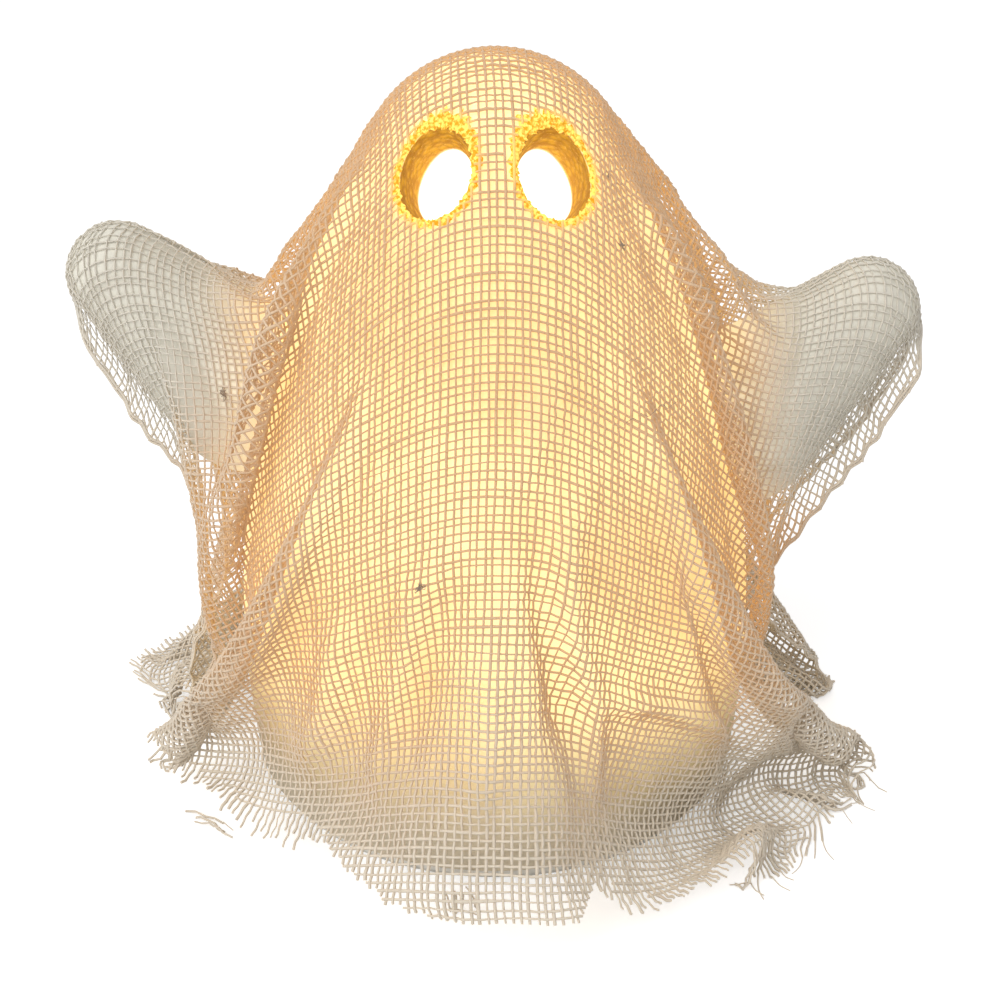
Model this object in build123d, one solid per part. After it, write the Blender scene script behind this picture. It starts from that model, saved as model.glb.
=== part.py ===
from build123d import *
import os
from math import asin, atan2, cos, degrees, hypot, radians, sin, sqrt

# A lit cloth ghost. Millimetres, +Z up, the face looks along -Y,
# origin at the centre of the foot ring where it meets the table.

# Foam body: a hollow bell with a round crown
body_height = 144.5
body_radius = 52.0
body_waist = 28.0
crown_radius = 25.0

# Hollow of the foam body, reached from below
hollow_height = 131.0
hollow_radius = 39.0
hollow_crown_radius = 12.0

# Eye holes, slanting down into the hollow
eye_half_spacing = 10.4
eye_height = 129.5
eye_half_width = 7.2
eye_half_height = 10.5
eye_lean = 14.0
eye_inner_share = 0.62
eye_inner_half_spacing = 8.0
eye_inner_drop = 9.4
eye_depth = 20.0
eye_face_depth = 24.0
eye_lead_in = 6.0

# Foam arms, egg shaped, raised outwards on wooden dowels
arm_tip_reach = 71.5
arm_tip_height_left = 103.5
arm_tip_height_right = 96.5
arm_length = 33.0
arm_slope = 44.0
arm_tip_radius = 9.5
arm_root_radius = 17.0
arm_seat_gap = 0.3
dowel_radius = 2.5
dowel_clearance = 0.05
dowel_in_body = 14.0
dowel_in_arm = 16.0

# Gauze cover
cover_wall = 1.0
cover_gap = 0.5
sleeve_gap = 0.5
sleeve_root = 42.0
hem_height = 0.3
hem_side = 76.0
hem_front = 64.0
hem_fold = 5.0
fold_count = 9
fold_top = 118.0
fold_power = 1.6
skirt_top = 46.0
flare_power = 2.2
cover_levels = (5.0, 13.0, 26.0, 44.0, 64.0, 84.0, 102.0, 116.0)
crown_angles = (20.0, 40.0, 58.0, 72.0, 82.0)

# Foot ring and base tray
foot_thickness = 1.5
foot_inner_radius = 40.0
foot_width = 8.0
floor_thickness = 2.0
tray_margin = 1.4
plug_height = 7.0
plug_wall = 2.0
plug_clearance = 0.3

# Battery cells and their box under the lamp
cell_count = 3
cell_diameter = 10.5
cell_length = 44.5
cell_nub_radius = 1.9
cell_nub_height = 0.9
cell_spacing = 11.0
cell_clearance = 0.5
contact_thickness = 0.4
contact_touch = 0.1
spring_space = 5.0
contact_width = 8.0
contact_height = 8.4
lug_width = 3.0
lug_rise = 2.4
lug_clearance = 0.2
box_wall = 1.6
box_roof = 2.0

# Battery door, swinging down on two moulded pins
door_gap = 0.35
hinge_barrel_radius = 1.6
hinge_pin_radius = 1.0
hinge_running_clearance = 0.05
hinge_end_gap = 0.25
hinge_side_gap = 0.4
hinge_space = 1.5
tongue_width = 8.0
tongue_thickness = 0.7
tongue_rise = 2.5
grip_width = 12.0
grip_radius = 1.0
grip_inset = 3.0

# Slide switch beside the battery box
switch_y = -27.0
switch_length = 11.6
switch_width = 5.6
switch_height = 5.5
switch_ear_length = 19.5
switch_ear_thickness = 0.6
switch_screw_spacing = 15.8
switch_travel = 3.5
knob_length = 3.4
knob_width = 3.0
knob_proud = 0.8
knob_foot_height = 2.0
knob_clearance = 0.15
knob_groove_spacing = 0.85
knob_groove_width = 0.35
terminal_spacing = 4.0
terminal_size = 0.8
terminal_height = 2.0

# Lamp: board, light diodes, diffuser
board_radius = 13.0
board_thickness = 1.6
standoff_height = 3.0
standoff_radius = 2.3
board_screw_reach = 9.5
led_count = 3
led_ring_radius = 6.0
led_radius = 2.5
led_height = 8.6
led_flange_radius = 2.9
led_flange_thickness = 1.0
resistor_ring_radius = 10.0
resistor_length = 3.2
resistor_width = 1.6
resistor_height = 0.6
diffuser_radius = 17.0
diffuser_wall = 1.4
diffuser_height = 62.0
diffuser_flange_radius = 23.0
diffuser_flange_thickness = 1.6
diffuser_screw_reach = 20.0
lead_notch_width = 2.6
lead_notch_height = 2.8
lead_notch_margin = 1.0

# Screws and wires
screw_head_radius = 1.8
screw_head_height = 1.3
screw_shank_radius = 0.8
screw_clearance = 0.05
screw_bite = 1.6
lead_radius = 0.6
lead_gap = 0.1
lead_bend = 1.2
lead_straight = 3.6
red_lead_turn = 8.0
red_lead_sweep = 4.0
black_lead_end = (-8.5, 4.4)
switch_lead_end = (0.0, -8.5)

# Levels worked out from the sizes above
tray_bottom = foot_thickness
tray_top = tray_bottom + floor_thickness
cell_axis = tray_top + cell_clearance + cell_diameter / 2
box_ceiling = cell_axis + cell_diameter / 2 + cell_clearance
deck_top = box_ceiling + box_roof
board_bottom = deck_top + standoff_height
board_top = board_bottom + board_thickness
lead_level = deck_top + lead_notch_height / 2
flange_top = deck_top + diffuser_flange_thickness
ear_top = tray_top + switch_ear_thickness
box_half_length = (cell_length + spring_space + contact_thickness + contact_touch) / 2
cell_row_half = cell_spacing * (cell_count - 1) / 2
box_front = -(cell_row_half + cell_diameter / 2 + cell_clearance)
box_back = -box_front + hinge_space
hinge_y = box_back - hinge_side_gap - hinge_barrel_radius
hinge_z = tray_bottom + hinge_barrel_radius
cell_rows = [(i * cell_spacing - cell_row_half, (-1) ** i) for i in range(cell_count)]


class Bell:
    # A bell outline: a crown arc running tangent into one long side arc

    def __init__(self, radius, height, crown, waist):
        self.crown, self.waist = crown, waist
        self.crown_z = height - crown
        rise = self.crown_z - waist
        self.side = (radius**2 + rise**2 - crown**2) / (2 * (radius - crown))
        self.side_x = radius - self.side
        self.tangent = atan2(rise, -self.side_x)

    def radius_at(self, z, offset=0.0):
        joint_z = self.waist + (self.side + offset) * sin(self.tangent)
        if z > joint_z:
            return sqrt((self.crown + offset) ** 2 - (z - self.crown_z) ** 2)
        return self.side_x + sqrt((self.side + offset) ** 2 - (z - self.waist) ** 2)

    def solid(self, bottom, offset=0.0):
        def on_side(angle):
            reach = self.side + offset
            return (self.side_x + reach * cos(angle), self.waist + reach * sin(angle))

        def on_crown(angle):
            reach = self.crown + offset
            return (reach * cos(angle), self.crown_z + reach * sin(angle))

        start = asin((bottom - self.waist) / (self.side + offset))
        quarter = radians(90)
        top = (0, self.crown_z + self.crown + offset)
        outline = Polyline(top, (0, bottom), on_side(start))
        outline += ThreePointArc(on_side(start), on_side((start + self.tangent) / 2), on_side(self.tangent))
        outline += ThreePointArc(on_side(self.tangent), on_crown((self.tangent + quarter) / 2), top)
        return revolve(Plane.XZ * make_face(outline), Axis.Z)


body_bell = Bell(body_radius, body_height, crown_radius, body_waist)
hollow_bell = Bell(hollow_radius, hollow_height, hollow_crown_radius, body_waist)
foam_seat_radius = body_bell.radius_at(tray_top)
plug_radius = hollow_bell.radius_at(tray_top) - plug_clearance


def block(x0, x1, y0, y1, z0, z1):
    return Pos((x0 + x1) / 2, (y0 + y1) / 2, (z0 + z1) / 2) * Box(x1 - x0, y1 - y0, z1 - z0)


def rod(radius, z0, z1, x=0.0, y=0.0):
    return Pos(x, y, (z0 + z1) / 2) * Cylinder(radius, z1 - z0)


def screw(x, y, seat, grip):
    # A pan head on its seat; the shank passes through the gripped piece and bites into the next
    head = rod(screw_head_radius, seat, seat + screw_head_height, x, y)
    return head + rod(screw_shank_radius, seat - grip - screw_bite, seat, x, y)


def screw_hole(x, y, top, bottom):
    return rod(screw_shank_radius + screw_clearance, bottom, top, x, y)


def separate(shapes):
    return Compound(children=[shape.solids()[0] for shape in shapes])


# Eyes

def eye_hole(side):
    axis = Vector(side * eye_half_spacing, -eye_face_depth, 0).normalized()
    across = Vector(eye_face_depth, side * eye_half_spacing, 0).normalized()
    lean = side * eye_lean
    mouth = Vector(side * eye_half_spacing, -eye_face_depth, eye_height)
    inner_height = eye_height - eye_inner_drop
    inner = Vector(side * eye_inner_half_spacing, eye_depth - eye_face_depth, inner_height)
    run = (mouth - inner).normalized()
    start = mouth + run * eye_lead_in
    rings = []
    for centre, share in ((start, 1.0), (mouth, 1.0), (inner, eye_inner_share)):
        plane = Plane(origin=centre, x_dir=across, z_dir=axis)
        rings.append(plane * Rot(0, 0, lean) * Ellipse(eye_half_width * share, eye_half_height * share))
    return loft([r.faces()[0] for r in rings], ruled=True)


eye_holes = [eye_hole(-1), eye_hole(1)]


# Arms

arm_flank = asin((arm_root_radius - arm_tip_radius) / arm_length)


class Arm:
    def __init__(self, side, tip_height):
        along = radians(arm_slope)
        self.axis = Vector(side * cos(along), 0, sin(along))
        self.down = Vector(side * sin(along), 0, -cos(along))
        self.tip = Vector(side * arm_tip_reach, 0, tip_height)
        self.root = self.tip - self.axis * arm_length
        self.plane = Plane(origin=self.root, x_dir=self.down, z_dir=self.axis)

    def egg(self, offset=0.0, reach_in=0.0):
        # Two round ends joined by a cone, moved outwards by offset, with an optional straight root
        root, tip = arm_root_radius + offset, arm_tip_radius + offset

        def on_root(angle):
            return (root * cos(angle), root * sin(angle))

        def on_tip(angle):
            return (tip * cos(angle), arm_length + tip * sin(angle))

        quarter = radians(90)
        high = (0, arm_length + tip)
        if reach_in:
            low = (0, -reach_in)
            outline = Polyline(low, (root, -reach_in), (root, 0))
            outline += ThreePointArc((root, 0), on_root(arm_flank / 2), on_root(arm_flank))
        else:
            low = (0, -root)
            outline = ThreePointArc(low, on_root((arm_flank - quarter) / 2), on_root(arm_flank))
        outline += Line(on_root(arm_flank), on_tip(arm_flank))
        outline += ThreePointArc(on_tip(arm_flank), on_tip((arm_flank + quarter) / 2), high)
        outline += Line(high, low)
        return self.plane * revolve(Plane.XZ * make_face(outline), Axis.Z)

    def dowel(self, clearance=0.0):
        length = dowel_in_body + dowel_in_arm + 2 * clearance
        middle = (dowel_in_arm - dowel_in_body) / 2
        return self.plane * Pos(0, 0, middle) * Cylinder(dowel_radius + clearance, length)

    def sleeve(self, offset):
        return self.egg(offset, sleeve_root)


arms = {"left": Arm(-1, arm_tip_height_left), "right": Arm(1, arm_tip_height_right)}


# Gauze cover

def cover_profile():
    # Height, reach to the side, reach to the front and fold depth of each level, hem first
    offset = cover_gap + cover_wall
    reach = crown_radius + offset
    crown_levels = [body_bell.crown_z + reach * sin(radians(a)) for a in crown_angles]
    rows = []
    for z in (hem_height, *cover_levels, *crown_levels):
        base = body_bell.radius_at(z, offset)
        fold = hem_fold * max(0.0, (fold_top - z) / (fold_top - hem_height)) ** fold_power
        flare = max(0.0, (skirt_top - z) / (skirt_top - hem_height)) ** flare_power
        middle = base + fold
        side = middle + (hem_side - middle) * flare
        front = middle + (hem_front - middle) * flare
        rows.append((z, side, front, fold))
    return rows


def cover_inside(rows):
    # The same levels moved inwards by the cloth's thickness, square to the outline
    moved = []
    for i, (z, side, front, fold) in enumerate(rows):
        before, after = rows[max(i - 1, 0)], rows[min(i + 1, len(rows) - 1)]
        run = (after[1] + after[2] - before[1] - before[2]) / 2
        rise = after[0] - before[0]
        length = hypot(run, rise)
        inwards = cover_wall * rise / length
        moved.append((z + cover_wall * run / length, side - inwards, front - inwards, fold))
    return moved


def cover_ring(z, side, front, fold):
    def spot(step, depth):
        turn = radians(step * 90 / fold_count)
        return (
            (side + depth) * cos(turn),
            (front + depth) * sin(turn),
            z,
        )

    edges = []
    for k in range(2 * fold_count):
        depth = fold if k % 2 == 0 else -fold
        fold_arc = ThreePointArc(spot(2 * k - 1, 0), spot(2 * k, depth), spot(2 * k + 1, 0))
        edges.append(fold_arc.edges()[0])
    return Face(Wire(edges))


def cover_bell(rows):
    return loft([cover_ring(*row) for row in rows])


def gauze_cover():
    rows = cover_profile()
    cloth = cover_bell(rows)
    room = cover_bell(cover_inside(rows))
    for arm in arms.values():
        cloth += arm.sleeve(sleeve_gap + cover_wall)
    for arm in arms.values():
        room += arm.sleeve(sleeve_gap)
    cloth -= room
    for hole in eye_holes:
        cloth -= hole
    return cloth


# Foam body

def foam_body():
    foam = body_bell.solid(tray_top) - hollow_bell.solid(tray_top)
    for hole in eye_holes:
        foam -= hole
    for arm in arms.values():
        foam -= arm.dowel(dowel_clearance)
    return foam


def foam_arm(arm):
    return arm.egg() - body_bell.solid(tray_top, arm_seat_gap) - arm.dowel(dowel_clearance)


# Base

def foot_ring():
    ring = rod(foot_inner_radius + foot_width, 0, foot_thickness)
    return ring - rod(foot_inner_radius, 0, foot_thickness)


knob_rest_x = -switch_travel / 2
slot_half = (switch_travel + knob_length) / 2 + knob_clearance
diffuser_screws_at = [(-diffuser_screw_reach, 0), (diffuser_screw_reach, 0)]
board_screws_at = [(-board_screw_reach, 0), (board_screw_reach, 0)]
switch_screws_at = [(-switch_screw_spacing / 2, switch_y), (switch_screw_spacing / 2, switch_y)]


def lug_box(side, y, clearance, top):
    outer = side * (box_half_length + clearance)
    inner = side * (box_half_length - contact_thickness - clearance)
    half = lug_width / 2 + clearance
    return block(min(inner, outer), max(inner, outer), y - half, y + half, cell_axis, top)


def base_tray():
    tray = rod(foam_seat_radius - tray_margin, tray_bottom, tray_top)
    plug = rod(plug_radius, tray_top, tray_top + plug_height)
    tray += plug - rod(plug_radius - plug_wall, tray_top, tray_top + plug_height)
    outer_x = box_half_length + box_wall
    tray += block(-outer_x, outer_x, box_front - box_wall, box_back + box_wall, tray_bottom, deck_top)
    tray -= block(-box_half_length, box_half_length, box_front, box_back, tray_bottom, box_ceiling)
    for x, y in board_screws_at:
        tray += rod(standoff_radius, deck_top, board_bottom, x, y)
        tray -= screw_hole(x, y, board_bottom, board_bottom - screw_bite)
    for x, y in diffuser_screws_at:
        tray -= screw_hole(x, y, deck_top, deck_top - screw_bite)
    for x, y in switch_screws_at:
        tray -= screw_hole(x, y, tray_top, tray_top - screw_bite)
    half = knob_width / 2 + knob_clearance
    tray -= block(-slot_half, slot_half, switch_y - half, switch_y + half, tray_bottom, tray_top)
    bore = Pos(0, hinge_y, hinge_z) * Rot(0, 90, 0)
    tray -= bore * Cylinder(hinge_pin_radius + hinge_running_clearance, 2 * outer_x)
    tray -= lug_box(1, cell_rows[0][0], lug_clearance, deck_top)
    tray -= lug_box(-1, cell_rows[-1][0], lug_clearance, deck_top)
    return tray


def battery_door():
    half = box_half_length - hinge_end_gap
    front = box_front + door_gap
    door = block(-half, half, front, hinge_y, tray_bottom, tray_top)
    along = Pos(0, hinge_y, hinge_z) * Rot(0, 90, 0)
    door += along * Cylinder(hinge_barrel_radius, 2 * half)
    door += along * Cylinder(hinge_pin_radius, 2 * (box_half_length + box_wall - hinge_end_gap))
    tongue_y = front + tongue_thickness
    half_tongue = tongue_width / 2
    door += block(-half_tongue, half_tongue, front, tongue_y, tray_top, tray_top + tongue_rise)
    grip = Pos(0, front + grip_inset, tray_bottom) * Rot(0, 90, 0)
    return door - grip * Cylinder(grip_radius, grip_width)


# Batteries and contacts

def cell_span(direction):
    # Where a cell's plain end and its nub end lie along X
    nub_end = box_half_length - contact_thickness - contact_touch
    return direction * (nub_end - cell_length), direction * nub_end


def battery_cell(y, direction):
    flat, nub = cell_span(direction)
    shoulder = nub - direction * cell_nub_height
    lay = Rot(0, 90, 0)
    body = Pos((flat + shoulder) / 2, y, cell_axis) * lay * Cylinder(cell_diameter / 2, abs(shoulder - flat))
    tip = Pos((shoulder + nub) / 2, y, cell_axis) * lay * Cylinder(cell_nub_radius, cell_nub_height)
    return body + tip


def contact_plate(side, y0, y1):
    outer = side * box_half_length
    inner = side * (box_half_length - contact_thickness)
    half = contact_width / 2
    low = cell_axis - contact_height / 2
    return block(min(inner, outer), max(inner, outer), y0 - half, y1 + half, low, low + contact_height)


def contact_leaf(side, y):
    # A bent strip that presses on a cell's plain end
    base = side * (box_half_length - contact_thickness)
    reach = spring_space - contact_thickness - contact_touch
    rise = contact_height / 2 - contact_thickness

    def wedge(depth, half_height):
        tip = base - side * depth
        points = [(base, cell_axis - half_height), (tip, cell_axis), (base, cell_axis + half_height)]
        return Plane.XZ * make_face(Polyline(*points, close=True))

    strip = wedge(reach, rise) - wedge(reach - 2 * contact_thickness, rise - contact_thickness)
    half = contact_width / 4
    return Pos(0, y + half, 0) * extrude(strip, 2 * half, dir=(0, -1, 0))


def positive_contact():
    y, side = cell_rows[0]
    return contact_plate(side, y, y) + lug_box(side, y, 0, deck_top + lug_rise)


def negative_contact():
    y, direction = cell_rows[-1]
    side = -direction
    plate = contact_plate(side, y, y) + lug_box(side, y, 0, deck_top + lug_rise)
    return plate + contact_leaf(side, y)


def link_contact(row):
    # Joins the plain end of one cell to the nub end of the next
    y, direction = cell_rows[row]
    return contact_plate(-direction, y, y + cell_spacing) + contact_leaf(-direction, y)


# Switch

def switch_body():
    half_x, half_y = switch_length / 2, switch_width / 2
    low, high = switch_y - half_y, switch_y + half_y
    case = block(-half_x, half_x, low, high, tray_top, tray_top + switch_height)
    ear = switch_ear_length / 2
    case += block(-ear, ear, low, high, tray_top, ear_top)
    foot = knob_width / 2 + knob_clearance
    ceiling = tray_top + knob_foot_height + knob_clearance
    case -= block(-slot_half, slot_half, switch_y - foot, switch_y + foot, tray_top, ceiling)
    for x, y in switch_screws_at:
        case -= screw_hole(x, y, ear_top, tray_top)
    top = tray_top + switch_height
    for i in (-1, 0, 1):
        x = i * terminal_spacing
        size = terminal_size / 2
        case += block(x - size, x + size, switch_y - size, switch_y + size, top, top + terminal_height)
    return case


def switch_knob():
    x0, x1 = knob_rest_x - knob_length / 2, knob_rest_x + knob_length / 2
    half = knob_width / 2
    low = tray_bottom - knob_proud
    knob = block(x0, x1, switch_y - half, switch_y + half, low, tray_top + knob_foot_height)
    groove = Box(knob_groove_width, knob_width, knob_proud / 2)
    for i in (-1, 0, 1):
        knob -= Pos(knob_rest_x + i * knob_groove_spacing, switch_y, low) * groove
    return knob


# Lamp

def ring_spots(count, radius, start):
    turns = [radians(start + 360 * i / count) for i in range(count)]
    return [(radius * cos(t), radius * sin(t)) for t in turns]


def circuit_board():
    board = rod(board_radius, board_bottom, board_top)
    for x, y in board_screws_at:
        board -= screw_hole(x, y, board_top, board_bottom)
    return board


def light_diode(x, y):
    straight = led_height - led_radius
    lamp = rod(led_radius, board_top, board_top + straight, x, y)
    lamp += Pos(x, y, board_top + straight) * Sphere(led_radius)
    return lamp + rod(led_flange_radius, board_top, board_top + led_flange_thickness, x, y)


def resistor(x, y):
    turn = degrees(atan2(y, x)) + 90
    chip = Box(resistor_length, resistor_width, resistor_height)
    return Pos(x, y, board_top + resistor_height / 2) * Rot(0, 0, turn) * chip


def diffuser():
    top = deck_top + diffuser_height - diffuser_radius
    inner = diffuser_radius - diffuser_wall
    shade = rod(diffuser_radius, deck_top, top) + Pos(0, 0, top) * Sphere(diffuser_radius)
    shade += rod(diffuser_flange_radius, deck_top, flange_top)
    shade -= rod(inner, deck_top, top) + Pos(0, 0, top) * Sphere(inner)
    for x, y in diffuser_screws_at:
        shade -= screw_hole(x, y, flange_top, deck_top)
    near, far = inner - lead_notch_margin, diffuser_flange_radius + lead_notch_margin
    half = lead_notch_width / 2
    notch = block(near, far, -half, half, deck_top, deck_top + lead_notch_height)
    for x, y in (black_lead_end, switch_lead_end):
        shade -= Rot(0, 0, degrees(atan2(y, x))) * notch
    return shade


# Wires

def lead(*points):
    path = FilletPolyline(*points, radius=lead_bend)
    start = Plane(origin=path @ 0, z_dir=path % 0)
    return sweep(start * Circle(lead_radius), path=path)


lug_face = box_half_length - contact_thickness - lead_gap
terminal_top = tray_top + switch_height + terminal_height + lead_gap


def red_lead():
    y = cell_rows[0][0]
    x = lug_face
    return lead(
        (x, y, lead_level),
        (x - lead_straight, y, lead_level),
        (x - red_lead_turn, box_front - red_lead_sweep, lead_level),
        (terminal_spacing, switch_y, lead_level),
        (terminal_spacing, switch_y, terminal_top),
    )


def black_lead():
    y = cell_rows[-1][0]
    x, end_y = black_lead_end
    return lead(
        (-lug_face, y, lead_level),
        (-lug_face + lead_straight, y, lead_level),
        (x, end_y, lead_level),
        (x, end_y, board_bottom - lead_gap),
    )


def switch_lead():
    x, y = switch_lead_end
    return lead(
        (x, switch_y, terminal_top),
        (x, switch_y, lead_level),
        (x, y, lead_level),
        (x, y, board_bottom - lead_gap),
    )


nodes = {
    "gauze_cover": gauze_cover(),
    "foam_body": foam_body(),
    "left_arm": foam_arm(arms["left"]),
    "right_arm": foam_arm(arms["right"]),
    "left_arm_dowel": arms["left"].dowel(),
    "right_arm_dowel": arms["right"].dowel(),
    "foot_ring": foot_ring(),
    "base_tray": base_tray(),
    "battery_door": battery_door(),
    "battery_cells": separate([battery_cell(y, d) for y, d in cell_rows]),
    "positive_contact": positive_contact(),
    "negative_contact": negative_contact(),
    "link_contacts": separate([link_contact(i) for i in range(cell_count - 1)]),
    "switch_body": switch_body(),
    "switch_knob": switch_knob(),
    "switch_screws": separate([screw(x, y, ear_top, switch_ear_thickness) for x, y in switch_screws_at]),
    "circuit_board": circuit_board(),
    "board_screws": separate([screw(x, y, board_top, board_thickness) for x, y in board_screws_at]),
    "light_diodes": separate([light_diode(x, y) for x, y in ring_spots(led_count, led_ring_radius, 90)]),
    "resistors": separate([resistor(x, y) for x, y in ring_spots(led_count, resistor_ring_radius, 30)]),
    "diffuser": diffuser(),
    "diffuser_screws": separate(
        [screw(x, y, flange_top, diffuser_flange_thickness) for x, y in diffuser_screws_at]
    ),
    "red_lead": red_lead(),
    "black_lead": black_lead(),
    "switch_lead": switch_lead(),
}

os.makedirs("parts", exist_ok=True)
for name, shape in nodes.items():
    export_step(shape, f"parts/{name}.step")
    print(f"{name}: {len(shape.solids())} solids, {shape.volume / 1000:.2f} cm3")
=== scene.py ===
import bpy
import numpy as np
from math import atan2, cos, pi, radians, sin, sqrt, tan
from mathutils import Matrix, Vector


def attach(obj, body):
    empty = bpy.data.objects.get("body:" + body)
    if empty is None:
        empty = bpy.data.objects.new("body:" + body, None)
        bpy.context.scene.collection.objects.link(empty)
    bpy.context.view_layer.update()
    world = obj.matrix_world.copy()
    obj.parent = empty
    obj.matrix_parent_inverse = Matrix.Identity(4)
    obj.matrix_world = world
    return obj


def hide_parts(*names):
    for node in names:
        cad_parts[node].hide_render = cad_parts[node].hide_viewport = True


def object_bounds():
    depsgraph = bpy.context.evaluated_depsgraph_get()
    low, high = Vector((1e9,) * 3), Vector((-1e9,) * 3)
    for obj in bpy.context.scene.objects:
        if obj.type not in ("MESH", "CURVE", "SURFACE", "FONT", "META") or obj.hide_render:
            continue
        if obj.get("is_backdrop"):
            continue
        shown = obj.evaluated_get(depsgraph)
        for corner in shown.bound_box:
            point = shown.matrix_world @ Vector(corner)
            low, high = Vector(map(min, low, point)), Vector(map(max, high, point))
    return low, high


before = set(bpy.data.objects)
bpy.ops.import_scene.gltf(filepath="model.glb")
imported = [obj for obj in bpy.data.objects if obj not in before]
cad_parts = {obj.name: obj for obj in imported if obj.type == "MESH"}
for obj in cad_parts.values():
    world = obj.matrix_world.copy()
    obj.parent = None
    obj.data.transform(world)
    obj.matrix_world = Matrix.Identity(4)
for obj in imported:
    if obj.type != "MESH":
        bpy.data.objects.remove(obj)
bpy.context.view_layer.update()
print("stage: frame loaded")

# The drape is worked out in millimetres, then built in metres
foamSizes = {
    "crownZ": 119.5, "crownR": 25.0, "sideX": -141.5, "sideZ": 28.0, "sideR": 193.5,
}
armSizes = {
    "reach": 71.5, "tipZ": {-1: 103.5, 1: 96.5}, "slope": 44.0, "length": 33.0, "rootR": 17.0, "tipR": 9.5,
}
eyeSizes = {
    "spacing": 10.4, "face": 24.0, "height": 129.5, "halfWidth": 7.2, "halfHeight": 10.5, "lean": 14.0,
    "innerSpacing": 8.0, "depth": 20.0, "drop": 9.4, "innerShare": 0.62, "rim": 0.65, "brow": 1.5,
    "gauzeGap": 0.06, "browGap": 0.16,
}
clothSizes = {
    "halfWidth": 112.0, "halfLength": 179.2, "pitch": 1.4, "lengthMid": 172.0, "lengthSide": 119.0,
    "gap": 0.8, "floor": 0.6, "threadRadius": 0.27, "wave": 0.16, "turnIn": 0.9,
}
# Camera fitted to the photo: place and lens in mm, tilt in degrees, view 1000 units across
cameraSizes = {
    "y": -262.3, "z": 181.4, "tilt": 23.0, "lens": 51.3, "sensor": 36.0, "shiftX": 0.005, "shiftY": -0.0652,
    "view": 1000,
}
# How the painted glow on the threads falls off with distance from the foam and towards the table, and near
# the arms, in mm
glowSizes = {
    "full": 1.15, "fall": 16.0, "darkBelow": 14, "rise": 24, "armStart": 4, "armRise": 9, "armLeast": 0.2,
}
# How uneven the threads are, and how far they fray at the hem and around the eyes, in mm
weaveSizes = {
    "shift": 0.1, "shiftRun": 15, "uneven": 0.13, "unevenRun": 9, "slimLit": 0.2, "slimArm": 0.4,
    "warpFray": (-0.4, 2.6), "weftFray": (-2.6, -0.4), "eyeFray": (-0.2, 0.5), "eyeScale": 8,
}
# Loose strands at the hem, lint and one hair
strandSizes = {
    "count": 20, "length": (2.5, 5.5), "bend": (-0.9, 0.9), "radius": (0.12, 0.2), "lintRadius": 0.085,
    "hairRadius": 0.06,
}
foamTangent = atan2(foamSizes["crownZ"] - foamSizes["sideZ"], -foamSizes["sideX"])


def foamField(p):
    r, z = np.hypot(p[..., 0], p[..., 1]), p[..., 2]
    top = np.arctan2(z - foamSizes["crownZ"], r) > foamTangent
    dx = r - np.where(top, 0.0, foamSizes["sideX"])
    dz = z - np.where(top, foamSizes["crownZ"], foamSizes["sideZ"])
    reach = np.hypot(dx, dz)
    safe = np.maximum(r, 1e-6)
    normal = np.stack([p[..., 0] / safe * dx / reach, p[..., 1] / safe * dx / reach, dz / reach], -1)
    return reach - np.where(top, foamSizes["crownR"], foamSizes["sideR"]), normal


def armField(p, side):
    s = armSizes
    along = np.array([side * cos(radians(s["slope"])), 0, sin(radians(s["slope"]))])
    root = np.array([side * s["reach"], 0, s["tipZ"][side]]) - along * s["length"]
    q = p - root
    t = q @ along
    radial = q - t[..., None] * along
    r = np.maximum(np.linalg.norm(radial, axis=-1), 1e-6)
    b = (s["rootR"] - s["tipR"]) / s["length"]
    c = sqrt(1 - b * b)
    k = c * t - b * r
    low, high = k < 0, k > c * s["length"]
    lowR, highR = np.maximum(np.hypot(r, t), 1e-6), np.maximum(np.hypot(r, t - s["length"]), 1e-6)
    dist = np.where(low, lowR - s["rootR"], np.where(high, highR - s["tipR"], c * r + b * t - s["rootR"]))
    normal = c * radial / r[..., None] + b * along
    normal = np.where(low[..., None], q / lowR[..., None], normal)
    normal = np.where(high[..., None], (q - s["length"] * along) / highR[..., None], normal)
    return dist, normal


# How the cloth is cut, and where its edges and ridge lie, read off the photo
# sideCut: distance from the ridge, half width of the cloth there
sideCut = np.array([
    (0, 112), (22, 109), (42, 99), (56, 93), (74, 93), (95, 99), (119, 110), (200, 114),
], float)
# ridgeLines: x and z of the cloth's middle line, over the crown and out along each arm
ridgeLines = {
    -1: [(0, 145.2), (-9, 143.6), (-17, 138.9), (-23.5, 131.5), (-28.4, 123), (-35, 114.5), (-40.8, 106.5),
         (-46, 100.2), (-50, 102.2), (-54, 106), (-60.5, 110.6), (-66, 113.2), (-71, 114.2), (-76.5, 112.8),
         (-80.2, 109), (-81.9, 104), (-81.6, 99), (-79.5, 94), (-76, 89)],
    1: [(0, 145.2), (9, 143.6), (17, 138.9), (24, 131.5), (29.5, 124), (35, 117), (40, 110.5), (45.5, 104),
        (51.5, 98.6), (56, 99.6), (61, 101.8), (67, 105), (72, 106.9), (77, 106), (81, 102.5), (82.8, 97.5),
        (82.3, 92), (80, 87), (76.5, 82)],
}
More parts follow.
